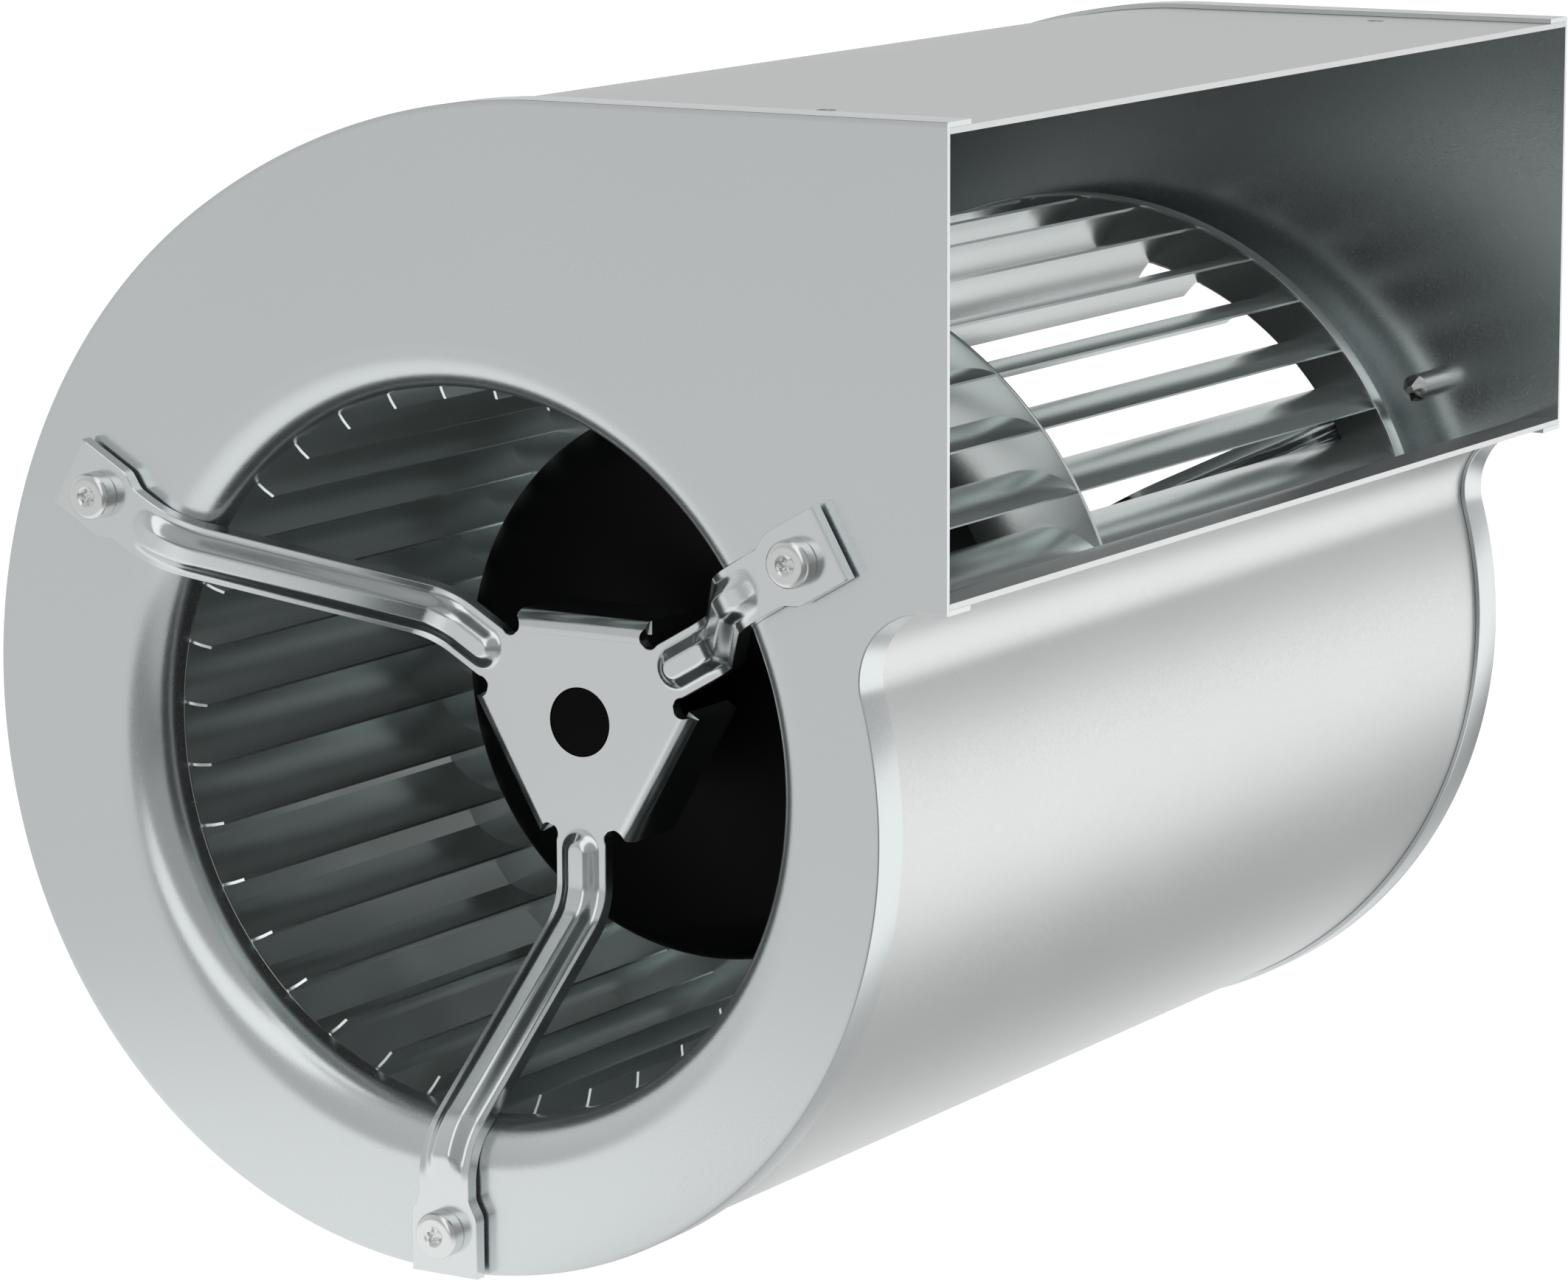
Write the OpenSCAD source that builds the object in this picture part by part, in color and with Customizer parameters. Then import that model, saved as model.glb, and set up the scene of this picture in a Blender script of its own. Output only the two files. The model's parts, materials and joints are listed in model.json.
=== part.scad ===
// Double-inlet centrifugal fan with a sheet-metal scroll housing, a drum impeller
// and an external-rotor motor on a fixed axle held by two three-armed brackets.
// Millimetres, +Z up. The air leaves toward +X and the shaft runs along Y.
// The origin lies on the housing's top, midway between the two mounting holes.

/* [Housing] */
// Width over the two side plates
housing_w = 233; // [225:1:245]
// Distance from the shaft to the outlet plane
outlet_x = 94.6; // [92:0.2:110]
// Outer height of the outlet mouth
outlet_h = 77.4; // [74:0.2:80]
// Radius of the scroll at the tongue
scroll_r0 = 82; // [81:0.25:83]
// Radius of the scroll under the impeller
scroll_r1 = 90.5; // [89:0.25:92]
// Radius of the scroll behind the impeller
scroll_r2 = 100.5; // [99:0.25:102]
// Radius of the scroll where it runs out to the flat top
scroll_r3 = 120.5; // [118:0.25:123]
// Radius of the hollow bend below the outlet
tongue_r = 12; // [9:0.5:13]
// Sheet thickness of the side plates
plate_t = 0.85; // [0.7:0.05:1.2]
// Sheet thickness of the wrap
wrap_t = 1; // [0.8:0.05:1.4]
// Width of the side plates' rim over the wrap
rim_w = 7.5; // [5:0.5:10]

/* [Top mounting holes] */
// Diameter of the two holes in the top
top_hole_d = 3.2; // [2.8:0.1:5]
// Distance between the two holes
top_hole_spacing = 200; // [180:1:204]
// Distance from the shaft to the holes, toward the outlet
top_hole_x = 63.1; // [50:0.1:80]

/* [Inlets] */
// Clear diameter of each inlet
throat_d = 123.2; // [121:0.2:124]
// Radius of the rounded inlet lip
lip_r = 8; // [7:0.25:8.5]
// Depth of the inlet nozzle behind the side plate
nozzle_depth = 10.2; // [9:0.1:12]

/* [Impeller] */
// Outer diameter over the blade tips
blade_outer_d = 145.2; // [144:0.2:146]
// Diameter inside the blades
blade_inner_d = 118; // [116:0.2:120]
// Number of blades
blade_n = 36; // [24:1:40]
// Sheet thickness of the blades
blade_t = 0.5; // [0.4:0.05:0.7]
// Angle by which a blade's tip trails its inner edge
blade_lean = 8.6; // [7:0.1:10]
// Radius of a blade's curve
blade_curve_r = 14.4; // [12:0.2:18]
// Length of the slanted corner at each blade end, along the shaft
blade_corner = 2; // [1:0.1:3]
// Running gap between an end ring and the inlet nozzle
nozzle_gap = 0.8; // [0.6:0.1:2]
// Outer diameter of the end rings
ring_d = 147; // [146.6:0.1:148]
// Width of the end rings' lip along the shaft
ring_lip = 4.3; // [3:0.1:6]
// Sheet thickness of the end rings
ring_t = 0.5; // [0.4:0.05:0.6]
// Place of the middle disc, toward the near inlet
disc_z = 15.3; // [13:0.1:18]
// Sheet thickness of the middle disc
disc_t = 1; // [0.8:0.1:1.5]

/* [Motor] */
// Outer diameter of the rotor can
can_d = 100; // [98:0.5:102]
// Distance of the rotor can's closed face from the middle disc
can_h = 25.7; // [25:0.1:30]
// Radius of the rotor can's shoulder
can_shoulder = 8; // [5:0.5:10]
// Sheet thickness of the rotor can and its end cover
can_t = 1.6; // [1.4:0.1:1.8]
// Diameter of the fixed axle
axle_d = 12; // [11.6:0.2:12.4]
// Height of the stator core and the rotor core
core_h = 14; // [12:0.5:15]
// Air gap between stator and rotor
air_gap = 0.4; // [0.3:0.05:0.6]
// Number of stator slots
slot_n = 18; // [12:1:20]

/* [Brackets] */
// Sheet thickness of the brackets
bracket_t = 2.4; // [1.8:0.1:2.5]
// Distance of each hub plate's outer face from the fan's middle
hub_z = 76.75; // [74:0.25:80]
// Width of the arms
arm_w = 10; // [9.6:0.1:11]
// Slope of the arms between hub and foot
arm_slope = 52.9; // [50:0.1:56]
// Width of the feet
foot_w = 13; // [12:0.1:15]
// Distance from the shaft to the foot screws
foot_screw_r = 79.5; // [79:0.1:80]
// Distance from the shaft to the ends of the feet
foot_end_r = 86.8; // [85.5:0.1:87]
// Width of the stiffening bead at its base
bead_w = 7.8; // [7:0.1:8.4]
// Height of the stiffening bead
bead_h = 1.9; // [1.5:0.1:2.2]
// Depth of the folded skirts around the hub
skirt_h = 15; // [10:0.5:17]
// Height of the washers under the feet
washer_t = 0.7; // [0.5:0.1:1.2]

/* [Foot screws] */
// Diameter of the screw head
screw_head_d = 8; // [7.6:0.1:8.4]
// Height of the screw head
screw_head_h = 3.3; // [2.6:0.1:4.4]
// Diameter of the screw shank
screw_d = 4.9; // [4:0.1:5]
// Length of the screw below its head
screw_l = 14.4; // [13:0.1:15]

/* [Hidden] */
$fn = 96;

// Small step that carries a cut past a face
past = 1;
// Gap between rim and wrap, and between parts that are pushed together
seam = 0.03;
// Radial play of holes round shanks and of rings on the axle
play = 0.05;

// Largest turn between two points of an outline's round stretches
arc_step = 3;

function dir(a) = [cos(a), sin(a)];

function backward(list) = [for (i = [len(list) - 1:-1:0]) list[i]];

// Points along an arc, with or without its first one
function arc(c, r, a1, a2, from = 1) =
    let (n = ceil(abs(a2 - a1) / arc_step))
    [for (k = [from:n]) c + r * dir(a1 + (a2 - a1) * k / n)];

// Scroll outline, drawn in the plane across the shaft: four arcs that meet smoothly,
// each ending at its own angle, and then a straight top
scroll_start = [0.3, -4.9];
scroll_r = [scroll_r0, scroll_r1, scroll_r2, scroll_r3];
scroll_end = [-76, -163, -236, -270];
scroll_c0 = scroll_start;
scroll_c1 = scroll_c0 + (scroll_r0 - scroll_r1) * dir(scroll_end[0]);
scroll_c2 = scroll_c1 + (scroll_r1 - scroll_r2) * dir(scroll_end[1]);
scroll_c3 = scroll_c2 + (scroll_r2 - scroll_r3) * dir(scroll_end[2]);
scroll_c = [scroll_c0, scroll_c1, scroll_c2, scroll_c3];
top_y = scroll_c3[1] + scroll_r3;
mouth_y = top_y - outlet_h;
// Centre of the hollow bend, which touches the first arc and the lower outlet edge
tongue_y = mouth_y - tongue_r;
tongue_x = scroll_c0[0] + sqrt(pow(scroll_r0 + tongue_r, 2) - pow(tongue_y - scroll_c0[1], 2));
tongue_a = atan2(tongue_y - scroll_c0[1], tongue_x - scroll_c0[0]);
scroll_a = concat([tongue_a], scroll_end);

// Places along the shaft, measured from the fan's middle toward the near inlet
side_z = housing_w / 2;
wrap_inset = plate_t + seam;
wrap_top = top_y - wrap_inset;
nozzle_z = side_z - nozzle_depth;
throat_r = throat_d / 2;
lip_c = [throat_r + lip_r, side_z - lip_r];
drum_z = nozzle_z - nozzle_gap;
blade_z = drum_z - ring_t;
arm_angles = [30, 150, 270];
skirt_angles = [90, 210, 330];

// Impeller
blade_r1 = blade_inner_d / 2;
blade_r2 = blade_outer_d / 2;
blade_first = 8.5;
corner_r = blade_corner * 1.4;
corner_past = 0.1 * corner_r;
tip = blade_r2 * dir(-blade_lean);
chord = tip - [blade_r1, 0];
chord_l = norm(chord);
chord_a = atan2(chord[1], chord[0]);
blade_c = [blade_r1, 0] + chord / 2
    + sqrt(pow(blade_curve_r, 2) - pow(chord_l / 2, 2)) * dir(chord_a - 90);
blade_a1 = atan2(-blade_c[1], blade_r1 - blade_c[0]);
blade_a2 = atan2(tip[1] - blade_c[1], tip[0] - blade_c[0]);
ring_r1 = throat_r + 0.6;
disc_r = blade_r2 + 0.2;
disc_under = disc_z - disc_t;

// Motor, from the can's closed face down to the end cover
can_r = can_d / 2;
can_in = can_r - can_t;
can_face = disc_z + can_h;
flange_r = can_r + 7;
rivet_r = can_r + 3.7;
rivet_n = 6;
rivet_shank = 1.5;
rivet_head = 2.8;
rivet_head_h = 0.9;
can_under = disc_under - can_t;
cover_under = can_under - can_t;
cover_r = can_r - 6;
cover_floor = can_face - 39;
axle_r = axle_d / 2;
bearing_r = axle_r + 8;
bearing_h = 8;
ball_ring_r = axle_r + 4;
ball_r = 2.2;
ball_n = 8;
race_play = 0.1;
race_w = 2.6;
boss_t = 2.3;
eye_r = axle_r + 3;
sleeve_r = axle_r + 2.3;
near_bearing = can_face - can_t - play - bearing_h;
far_bearing = cover_floor + can_t + play;
core_mid = (near_bearing + far_bearing + bearing_h) / 2;
core_z = core_mid - core_h / 2;
rotor_in = can_in - 9.8;
stator_r = rotor_in - air_gap;
coil_r1 = axle_r + 14;
coil_r2 = stator_r - 2.2;
coil_h = 7;
clip_t = 1.1;
clip_r = axle_r + 1.7;
groove_r = axle_r - 0.5;

// Bracket arm, as seen from its side: its outer face passes the rounded inlet lip
// at a fixed gap and runs down to the hub and up to the foot
arm_lip_gap = 0.25;
foot_z = side_z + washer_t + bracket_t;
arm_point = lip_c + (lip_r + arm_lip_gap + bracket_t) * dir(arm_slope + 90);
root_r = arm_point[0] - (arm_point[1] - hub_z) / tan(arm_slope);
crown_r = arm_point[0] + (foot_z - arm_point[1]) / tan(arm_slope);
root_bend = 4;
crown_bend = 13;
root_from = root_r - root_bend * tan(arm_slope / 2);
crown_to = crown_r + crown_bend * tan(arm_slope / 2);
slope_from = [root_r, hub_z] + (root_r - root_from) * dir(arm_slope);
slope_to = [crown_r, foot_z] - (crown_to - crown_r) * dir(arm_slope);
slope_l = norm(slope_to - slope_from);
// The bead starts on the hub plate and ends within the crown bend
bead_from = 22.6;
bead_tilt = 16;
bead_flank = 2.2;
bead_top = bead_w - 2 * bead_flank;
bead_sink = 0.8;
bead_wall = 1.12;
groove_w = bead_w - 2 * bead_wall;
groove_top = bead_top - 2 * bead_wall;
hub_flat = 15.5;
hub_lap = 5;
hub_inside = hub_flat - hub_lap;
// The hub plate proper ends a little inside the skirts' edges
hub_setback = 0.8;
hub_edge = hub_flat - hub_setback;
hub_corner = 13;
skirt_face = 18.3;
skirt_bend = skirt_face - hub_flat;
relief_r = 1.85;
relief_at = [20, 6.6];
shoulder_from = 73.6;
shoulder_to = 76.6;

// Outline of the housing from the lower to the upper outlet edge, pulled in by an inset
function scroll_line(inset) = concat(
    [[outlet_x, mouth_y + inset]],
    arc([tongue_x, tongue_y], tongue_r + inset, 90, 180 + tongue_a, 0),
    [for (i = [0:3]) each arc(scroll_c[i], scroll_r[i] - inset, scroll_a[i], scroll_a[i + 1])],
    [[outlet_x, top_y - inset]]
);

// Helpers for flat shapes

// A slice of a ring between two angles
module ring_slice(r1, r2, a1, a2) {
    difference() {
        intersection() {
            circle(r2);
            polygon([[0, 0], 2 * r2 * dir(a1), 2 * r2 * dir((a1 + a2) / 2), 2 * r2 * dir(a2)]);
        }
        circle(r1);
    }
}

// A wall of the given thickness that follows the outline and leaves the outlet open
module scroll_wall(inset, t) {
    polygon(concat(scroll_line(inset), backward(scroll_line(inset + t))));
}

// Puts a child at each of the three arm angles
module at_arms() {
    for (a = arm_angles) {
        rotate(a)
            children();
    }
}

// Carries a far-side copy of what is drawn for the near side
module far_side() {
    mirror([0, 0, 1])
        children();
}

// Turns the shaft from Z, in which all parts are drawn, to Y and sets the origin
module placed() {
    translate([-top_hole_x, 0, -wrap_top])
        rotate([90, 0, 0])
            children();
}

// Housing

module side_plate() {
    translate([0, 0, side_z - plate_t]) {
        linear_extrude(plate_t) {
            difference() {
                polygon(scroll_line(0));
                circle(lip_c[0]);
                at_arms()
                    translate([foot_screw_r, 0])
                        circle(screw_d / 2 + play);
            }
        }
    }
    translate([0, 0, side_z - rim_w])
        linear_extrude(rim_w - plate_t)
            scroll_wall(0, plate_t);
    rotate_extrude()
        inlet_profile();
}

// Section of the rounded inlet lip and the nozzle behind it
module inlet_profile() {
    translate(lip_c)
        ring_slice(lip_r - plate_t, lip_r, 90, 180);
    translate([throat_r, nozzle_z])
        square([plate_t, lip_c[1] - nozzle_z]);
}

module near_side_plate() {
    color("#bcc2c5")
        placed()
            side_plate();
}

module far_side_plate() {
    color("#bcc2c5")
        placed()
            far_side()
                side_plate();
}

module scroll_wrap() {
    wrap_w = housing_w - 2 * plate_t;
    color("#aeb2b3") {
        placed() {
            difference() {
                translate([0, 0, -wrap_w / 2])
                    linear_extrude(wrap_w)
                        scroll_wall(wrap_inset, wrap_t);
                for (s = [-1, 1]) {
                    translate([top_hole_x, wrap_top + past, s * top_hole_spacing / 2])
                        rotate([90, 0, 0])
                            cylinder(d = top_hole_d, h = wrap_t + 2 * past);
                }
            }
        }
    }
}

// Brackets

// Runs a section along the arm's outer face, from the given radius to the given tilt
// left in the crown bend. The section's X is across the arm and its Y points outward.
module along_arm(from_r, tilt) {
    translate([from_r, 0, hub_z])
        rotate([90, 0, 90])
            linear_extrude(root_from - from_r)
                children();
    translate([root_from, 0, hub_z + root_bend])
        rotate([90, 90, 0])
            rotate_extrude(angle = arm_slope)
                translate([root_bend, 0])
                    rotate(90)
                        children();
    translate([slope_from[0], 0, slope_from[1]])
        rotate([0, -arm_slope, 0])
            rotate([90, 0, 90])
                linear_extrude(slope_l)
                    children();
    translate([crown_to, 0, foot_z - crown_bend])
        rotate([90, -90, 0])
            rotate([0, 0, tilt])
                rotate_extrude(angle = arm_slope - tilt)
                    translate([crown_bend, 0])
                        rotate(-90)
                            children();
}

// Carries a child to the bead's round end in the crown bend, with Z along the face normal
module at_bead_end() {
    translate([crown_to, 0, foot_z - crown_bend])
        rotate([0, -bead_tilt, 0])
            translate([0, 0, crown_bend])
                children();
}

// A trapezium with its wide side at the height low and its narrow side at the height high
module bead_section(wide, narrow, low, high) {
    polygon([[-wide / 2, low], [wide / 2, low], [narrow / 2, high], [-narrow / 2, high]]);
}

// A bead with round ends; its sides slope evenly from the wide to the narrow width
module bead(wide, narrow, low, high) {
    along_arm(bead_from, bead_tilt)
        bead_section(wide, narrow, low, high);
    translate([bead_from, 0, hub_z + low])
        cylinder(d1 = wide, d2 = narrow, h = high - low);
    at_bead_end()
        translate([0, 0, low])
            cylinder(d1 = wide, d2 = narrow, h = high - low);
}

// Raised outer form of the bead, carried a little below the arm's face
module bead_outside() {
    spread = (bead_w - bead_top) / bead_h * bead_sink;
    bead(bead_w + spread, bead_top, -bead_sink, bead_h);
}

// Hollow behind the bead, carried a little past the arm's back
module bead_hollow() {
    depth = bead_h;
    spread = (groove_w - groove_top) / depth * bead_sink;
    bead(groove_w + spread, groove_top, -bracket_t - bead_sink, bead_h - bracket_t);
}

// Side view of an arm's face at the given height over its outer face
function arm_line(h) = concat(
    [[hub_inside, hub_z + h]],
    arc([root_from, hub_z + root_bend], root_bend - h, -90, arm_slope - 90, 0),
    arc([crown_to, foot_z - crown_bend], crown_bend + h, 90 + arm_slope, 90, 0),
    [[foot_end_r, foot_z + h]]
);

// Outline of one edge of an arm and its foot, as seen along the shaft
foot_line = [
    [shoulder_from, arm_w / 2],
    [shoulder_to, foot_w / 2],
    [foot_end_r + past, foot_w / 2],
];

module arm_strip() {
    intersection() {
        rotate([90, 0, 0])
            translate([0, 0, -foot_w])
                linear_extrude(2 * foot_w)
                    polygon(concat(arm_line(0), backward(arm_line(-bracket_t))));
        translate([0, 0, hub_z - bracket_t - past])
            linear_extrude(foot_z - hub_z + bracket_t + 2 * past)
                polygon(concat(
                    [[0, -arm_w / 2], [0, arm_w / 2]],
                    foot_line,
                    backward([for (p = foot_line) [p[0], -p[1]]])
                ));
    }
}

// Section of a skirt: the hub plate's edge, folded back over a small bend
module skirt_profile() {
    translate([hub_inside, hub_z - bracket_t])
        square([hub_flat - hub_inside, bracket_t]);
    translate([hub_flat, hub_z - skirt_bend])
        ring_slice(skirt_bend - bracket_t, skirt_bend, 0, 90);
    translate([skirt_face - bracket_t, hub_z - skirt_h])
        square([bracket_t, skirt_h - skirt_bend]);
}

module bracket() {
    difference() {
        union() {
            translate([0, 0, hub_z - bracket_t])
                linear_extrude(bracket_t)
                    polygon([for (a = skirt_angles, s = [-1, 1])
                        hub_edge * dir(a) + s * (hub_corner - hub_setback / 2) * dir(a + 90)]);
            for (a = skirt_angles) {
                rotate(a)
                    rotate([90, 0, 0])
                        translate([0, 0, -hub_corner])
                            linear_extrude(2 * hub_corner)
                                skirt_profile();
            }
            at_arms() {
                arm_strip();
                bead_outside();
            }
        }
        at_arms() {
            bead_hollow();
            translate([foot_screw_r, 0, foot_z - bracket_t - past])
                cylinder(d = screw_d + 2 * play, h = bracket_t + 2 * past);
            for (s = [-1, 1]) {
                translate([relief_at[0], s * relief_at[1], hub_z - skirt_bend])
                    cylinder(r = relief_r, h = skirt_bend + past);
            }
        }
        translate([0, 0, hub_z - bracket_t - past])
            cylinder(r = axle_r + play, h = bracket_t + 2 * past);
    }
}

module near_bracket() {
    color("#c3c8c8")
        placed()
            bracket();
}

module far_bracket() {
    color("#c3c8c8")
        placed()
            far_side()
                bracket();
}

module foot_washers() {
    at_arms()
        translate([foot_screw_r, 0, side_z])
            difference() {
                cylinder(d = screw_head_d + 1, h = washer_t);
                translate([0, 0, -past])
                    cylinder(d = screw_d + 2 * play, h = washer_t + 2 * past);
            }
}

module near_foot_washers() {
    color("#9a9fa0")
        placed()
            foot_washers();
}

module far_foot_washers() {
    color("#9a9fa0")
        placed()
            far_side()
                foot_washers();
}

// One screw, with its head on Z = 0 and its point downward
module foot_screw() {
    head_r = screw_head_d / 2;
    edge = 0.8;
    point_l = 2.4;
    dish_r = 1.8;
    dish_h = 0.2;
    star_r = 1.5;
    star_h = 1.2;
    difference() {
        union() {
            cylinder(r = head_r, h = screw_head_h - edge);
            translate([0, 0, screw_head_h - edge])
                cylinder(r1 = head_r, r2 = head_r - edge, h = edge);
        }
        translate([0, 0, screw_head_h - dish_h])
            cylinder(r = dish_r, h = past);
        translate([0, 0, screw_head_h - star_h])
            linear_extrude(star_h + past)
                polygon([for (i = [0:11]) (i % 2 == 0 ? star_r : star_r * 0.6) * dir(30 * i)]);
    }
    translate([0, 0, -screw_l + point_l])
        cylinder(d = screw_d, h = screw_l - point_l);
    translate([0, 0, -screw_l])
        cylinder(r1 = 0.3, d2 = screw_d, h = point_l);
}

module foot_screws() {
    at_arms()
        translate([foot_screw_r, 0, foot_z])
            foot_screw();
}

module near_foot_screws() {
    color("#c9cecf")
        placed()
            foot_screws();
}

module far_foot_screws() {
    color("#c9cecf")
        placed()
            far_side()
                foot_screws();
}

// Fixed motor parts

module motor_axle() {
    color("#1a1a1a") {
        placed() {
            difference() {
                translate([0, 0, -hub_z])
                    cylinder(r = axle_r, h = 2 * hub_z);
                for (z = [near_bearing - clip_t - 2 * play, far_bearing + bearing_h]) {
                    translate([0, 0, z])
                        difference() {
                            cylinder(r = axle_r + past, h = clip_t + 2 * play);
                            cylinder(r = groove_r, h = clip_t + 2 * play);
                        }
                }
            }
        }
    }
}

module tube(r1, r2, z1, z2) {
    translate([0, 0, z1])
        linear_extrude(z2 - z1)
            difference() {
                circle(r2);
                circle(r1);
            }
}

module near_spacer_sleeve() {
    color("#202020")
        placed()
            tube(axle_r + play, sleeve_r, near_bearing + bearing_h, hub_z - bracket_t);
}

module far_spacer_sleeve() {
    color("#202020")
        placed()
            tube(axle_r + play, sleeve_r, bracket_t - hub_z, far_bearing);
}

module axle_circlips() {
    gap_w = 4;
    color("#6d7072")
        placed()
            for (z = [near_bearing - clip_t - play, far_bearing + bearing_h + play]) {
                translate([0, 0, z])
                    linear_extrude(clip_t)
                        difference() {
                            circle(clip_r);
                            circle(groove_r + play);
                            translate([0, -gap_w / 2])
                                square([clip_r + past, gap_w]);
                        }
            }
}

// Places a child at the foot of each of the two bearings
module at_bearings() {
    for (z = [near_bearing, far_bearing]) {
        translate([0, 0, z])
            children();
    }
}

// Section of the ball track between the two bearing rings
module ball_track() {
    translate([ball_ring_r, bearing_h / 2])
        circle(ball_r + race_play);
}

module bearing_inner_rings() {
    color("#a9adae")
        placed()
            at_bearings()
                rotate_extrude()
                    difference() {
                        translate([axle_r + play, 0])
                            square([race_w, bearing_h]);
                        ball_track();
                    }
}

module stator_core() {
    slot_w = 3;
    slot_mouth = 1.2;
    color("#7b7f82") {
        placed() {
            translate([0, 0, core_z]) {
                linear_extrude(core_h) {
                    difference() {
                        circle(stator_r);
                        circle(axle_r + play);
                        for (i = [0:slot_n - 1]) {
                            rotate(i * 360 / slot_n) {
                                translate([coil_r1 + 2, -slot_w / 2])
                                    square([coil_r2 - coil_r1 - 2, slot_w]);
                                translate([coil_r2 - past, -slot_mouth / 2])
                                    square([stator_r - coil_r2 + 2 * past, slot_mouth]);
                            }
                        }
                    }
                }
            }
        }
    }
}

module stator_windings() {
    bar_w = 2.6;
    bar_from = coil_r1 + 2.2;
    color("#a8572a") {
        placed() {
            for (z = [core_z - coil_h, core_z + core_h]) {
                translate([0, 0, z])
                    rotate_extrude()
                        coil_section();
            }
            for (i = [0:slot_n - 1]) {
                rotate(i * 360 / slot_n)
                    translate([bar_from, -bar_w / 2, core_z - past])
                        cube([coil_r2 - 0.2 - bar_from, bar_w, core_h + 2 * past]);
            }
        }
    }
}

// Section of a winding's end turn, with rounded outer corners
module coil_section() {
    w = coil_r2 - coil_r1;
    r = 2;
    translate([coil_r1 + r, 0])
        square([w - 2 * r, coil_h]);
    translate([coil_r1, r])
        square([w, coil_h - 2 * r]);
    for (x = [r, w - r], y = [r, coil_h - r]) {
        translate([coil_r1 + x, y])
            circle(r);
    }
}

// Turning motor parts

// Holes for the rivets through a flange of the given thickness
module rivet_holes(under, t) {
    for (i = [0:rivet_n - 1]) {
        rotate(i * 360 / rivet_n)
            translate([rivet_r, 0, under - past])
                cylinder(r = rivet_shank + play, h = t + 2 * past);
    }
}

module rotor_can() {
    color("#0c0c0c") {
        placed() {
            difference() {
                rotate_extrude()
                    can_profile();
                rivet_holes(can_under, can_t);
            }
        }
    }
}

// Section of the drawn can: eye, face, shoulder, wall and flange, and the bearing seat
module can_profile() {
    shoulder_x = can_r - can_shoulder;
    shoulder_y = can_face - can_shoulder;
    translate([eye_r, can_face - can_t])
        square([shoulder_x - eye_r, can_t]);
    translate([shoulder_x, shoulder_y])
        ring_slice(can_shoulder - can_t, can_shoulder, 0, 90);
    translate([can_in, can_under])
        square([can_t, shoulder_y - can_under]);
    translate([can_in, can_under])
        square([flange_r - can_in, can_t - seam]);
    translate([bearing_r + play, near_bearing])
        square([boss_t, can_face - can_t - near_bearing + can_t / 2]);
}

module rotor_end_cover() {
    color("#0c0c0c") {
        placed() {
            difference() {
                rotate_extrude()
                    cover_profile();
                rivet_holes(cover_under, can_t);
            }
        }
    }
}

// Section of the end cover: a flange, a shallow dish and the bearing seat
module cover_profile() {
    translate([cover_r - can_t, cover_under])
        square([flange_r - cover_r + can_t, can_t - seam]);
    translate([cover_r - can_t, cover_floor])
        square([can_t, cover_under + can_t / 2 - cover_floor]);
    translate([eye_r, cover_floor])
        square([cover_r - eye_r, can_t]);
    translate([bearing_r + play, cover_floor + can_t / 2])
        square([boss_t, far_bearing + bearing_h - cover_floor - can_t / 2]);
}

module rotor_core() {
    color("#7b7f82")
        placed()
            tube(rotor_in, can_in - seam, core_z, core_z + core_h);
}

module bearing_outer_rings() {
    color("#a9adae")
        placed()
            at_bearings()
                rotate_extrude()
                    difference() {
                        translate([bearing_r - race_w, 0])
                            square([race_w, bearing_h]);
                        ball_track();
                    }
}

// Places a child at the centre of each ball of both bearings
module at_balls() {
    at_bearings()
        for (i = [0:ball_n - 1]) {
            rotate(i * 360 / ball_n)
                translate([ball_ring_r, 0, bearing_h / 2])
                    children();
        }
}

module bearing_balls() {
    color("#d0d4d5")
        placed()
            at_balls()
                sphere(ball_r);
}

module bearing_cages() {
    cage_h = 5.8;
    cage_t = 1;
    color("#b08d4a") {
        placed() {
            difference() {
                at_bearings()
                    tube(ball_ring_r - cage_t / 2, ball_ring_r + cage_t / 2,
                        (bearing_h - cage_h) / 2, (bearing_h + cage_h) / 2);
                at_balls()
                    rotate([0, 90, 0])
                        cylinder(r = ball_r + race_play, h = 2 * cage_t, center = true);
            }
        }
    }
}

// Impeller

// Cross-section of one blade, grown by the given amount on both faces and at both edges
module blade_section(grow = 0) {
    turn = grow / blade_curve_r * 180 / PI;
    translate(blade_c)
        ring_slice(blade_curve_r - blade_t / 2 - grow, blade_curve_r + blade_t / 2 + grow,
            blade_a1 + turn, blade_a2 - turn);
}

// Puts a child at each blade's angle
module at_blades() {
    for (i = [0:blade_n - 1]) {
        rotate(blade_first + i * 360 / blade_n)
            children();
    }
}

module one_blade() {
    difference() {
        translate([0, 0, -blade_z])
            linear_extrude(2 * blade_z)
                blade_section();
        for (s = [0, 1]) {
            mirror([0, 0, s])
                translate([0, 0, blade_z - blade_corner])
                    cylinder(r1 = blade_r1 - corner_past, h = blade_corner + past,
                        r2 = blade_r1 + corner_r * (1 + past / blade_corner));
        }
    }
}

module impeller_blades() {
    color("#8f9694")
        placed()
            at_blades()
                one_blade();
}

module middle_disc() {
    slot_play = 0.1;
    color("#8f9694") {
        placed() {
            difference() {
                translate([0, 0, disc_under])
                    linear_extrude(disc_t)
                        difference() {
                            circle(disc_r);
                            circle(can_r + play);
                            at_blades()
                                blade_section(slot_play);
                        }
                rivet_holes(disc_under, disc_t);
            }
        }
    }
}

// An end ring: a flat ring over the blade ends with a lip round their tips
module end_ring() {
    ring_r = ring_d / 2;
    tube(ring_r1, ring_r, blade_z, drum_z);
    tube(ring_r - ring_t, ring_r, drum_z - ring_lip, drum_z);
}

module near_end_ring() {
    color("#8f9694")
        placed()
            end_ring();
}

module far_end_ring() {
    color("#8f9694")
        placed()
            far_side()
                end_ring();
}

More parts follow.
